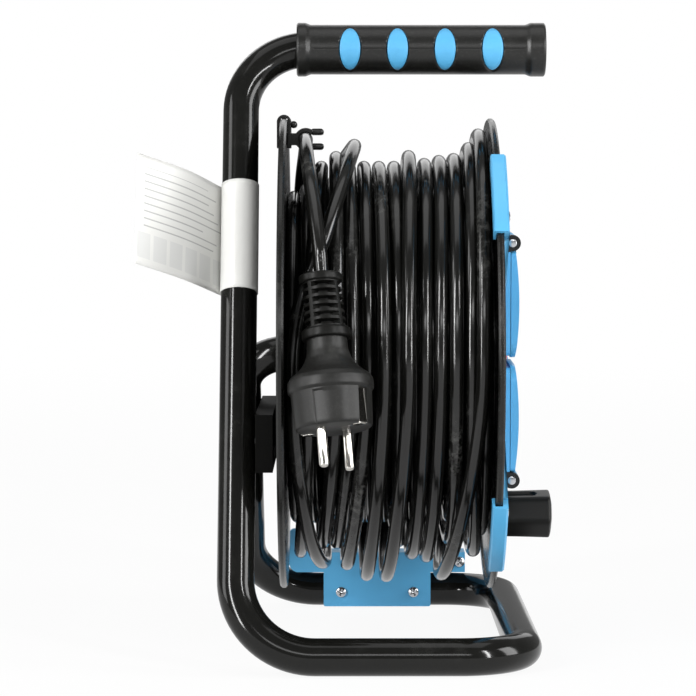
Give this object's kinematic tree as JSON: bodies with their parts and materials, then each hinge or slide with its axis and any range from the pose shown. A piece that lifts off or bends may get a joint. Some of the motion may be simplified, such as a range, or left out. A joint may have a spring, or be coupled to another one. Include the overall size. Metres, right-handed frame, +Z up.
{
  "type": "extension cord reel",
  "caption": "Hand-wound cord reel: a drum with lidded earthed sockets turns on the end of a bent steel tube frame with a carrying grip, wound with a long black cord and plug.",
  "frame": {"origin": "on the floor, below the middle of the frame's bounding box, which leaves out the cord and plug", "axes": "+X along the drum's axle from the risers towards the sockets, +Z up, -Y towards the side that the handle's riser stands on"},
  "size_m": [0.208, 0.2678, 0.3156],
  "materials": {
    "black_lacquer": "glossy black powder lacquer on steel tube",
    "black_plastic": "moulded black polypropylene, satin",
    "grip_rubber": "soft black grip, fine grain",
    "inlay_rubber": "soft blue grip inlay",
    "blue_plastic": "moulded azure plastic, satin",
    "cord_rubber": "black cable sheath, semi-gloss",
    "plug_rubber": "black moulded plug, fine grain",
    "zinc_steel": "bright zinc plating",
    "nickel": "nickel-plated brass",
    "brass": "bare brass",
    "white_nylon": "natural nylon",
    "label_film": "white label film",
    "red_plastic": "red button"
  },
  "bodies": {
    "frame": {"frame_tube": "black_lacquer", "grip_sleeve": "grip_rubber", "grip_inlays": "inlay_rubber", "cross_brace": "black_lacquer", "brace_screws": "zinc_steel", "bracket_plate": "blue_plastic", "bracket_back": "blue_plastic", "bracket_screws": "zinc_steel", "info_label": "label_film", "axle_collar": "zinc_steel", "axle_plug": "zinc_steel", "axle_washer": "zinc_steel", "axle_screw": "zinc_steel"},
    "drum": {"hub_barrel": "black_plastic", "rear_web": "black_plastic", "front_web": "black_plastic", "rear_flange": "black_plastic", "front_flange": "black_plastic", "rear_bush": "white_nylon", "front_bush": "white_nylon", "front_cover": "blue_plastic", "cover_screws": "zinc_steel", "socket_1": "black_plastic", "socket_2": "black_plastic", "socket_3": "black_plastic", "socket_4": "black_plastic", "earth_clips": "nickel", "contact_tulips": "brass", "bus_bars": "brass", "terminal_block": "white_nylon", "cord_clamp": "black_plastic", "inner_cable": "black_plastic", "cutout_body": "black_plastic", "lid_pins": "zinc_steel", "lid_springs": "zinc_steel", "crank_pin": "zinc_steel", "rim_clip": "black_plastic", "cord_core": "cord_rubber", "cord_winding": "cord_rubber", "cord_lead": "cord_rubber", "plug_relief": "plug_rubber", "plug_body": "plug_rubber", "plug_pins": "nickel", "plug_earth": "nickel"},
    "lid_1": {"lid_1": "blue_plastic"},
    "lid_2": {"lid_2": "blue_plastic"},
    "lid_3": {"lid_3": "blue_plastic"},
    "lid_4": {"lid_4": "blue_plastic"},
    "reset_button": {"reset_button": "red_plastic"},
    "crank_knob": {"crank_knob": "black_plastic"}
  },
  "joints": [
    {"name": "drum_turn", "type": "hinge", "parent": "frame", "child": "drum", "pos_m": [0, 0, 0.147], "axis": [1, 0, 0], "continuous": true},
    {"name": "lid_1_hinge", "type": "hinge", "parent": "drum", "child": "lid_1", "pos_m": [0.08, -0.03253, 0.20497], "axis": [0, -0.9997, -0.0262], "range_deg": [0, 95], "stiffness_Nm_per_rad": 0.01, "springref_deg": -34.38},
    {"name": "lid_2_hinge", "type": "hinge", "parent": "drum", "child": "lid_2", "pos_m": [0.08, 0.02945, 0.20659], "axis": [0, -0.9997, -0.0262], "range_deg": [0, 95], "stiffness_Nm_per_rad": 0.01, "springref_deg": -34.38},
    {"name": "lid_3_hinge", "type": "hinge", "parent": "drum", "child": "lid_3", "pos_m": [0.08, -0.02945, 0.08741], "axis": [0, 0.9997, 0.0262], "range_deg": [0, 95], "stiffness_Nm_per_rad": 0.01, "springref_deg": -34.38},
    {"name": "lid_4_hinge", "type": "hinge", "parent": "drum", "child": "lid_4", "pos_m": [0.08, 0.03253, 0.08903], "axis": [0, 0.9997, 0.0262], "range_deg": [0, 95], "stiffness_Nm_per_rad": 0.01, "springref_deg": -34.38},
    {"name": "button_press", "type": "slide", "parent": "drum", "child": "reset_button", "axis": [-1, 0, 0], "range_m": [0, 0.002], "stiffness_N_per_m": 400, "springref_m": -0.002},
    {"name": "knob_spin", "type": "hinge", "parent": "drum", "child": "crank_knob", "pos_m": [0.09, 0.00217, 0.06403], "axis": [1, 0, 0], "continuous": true}
  ]
}
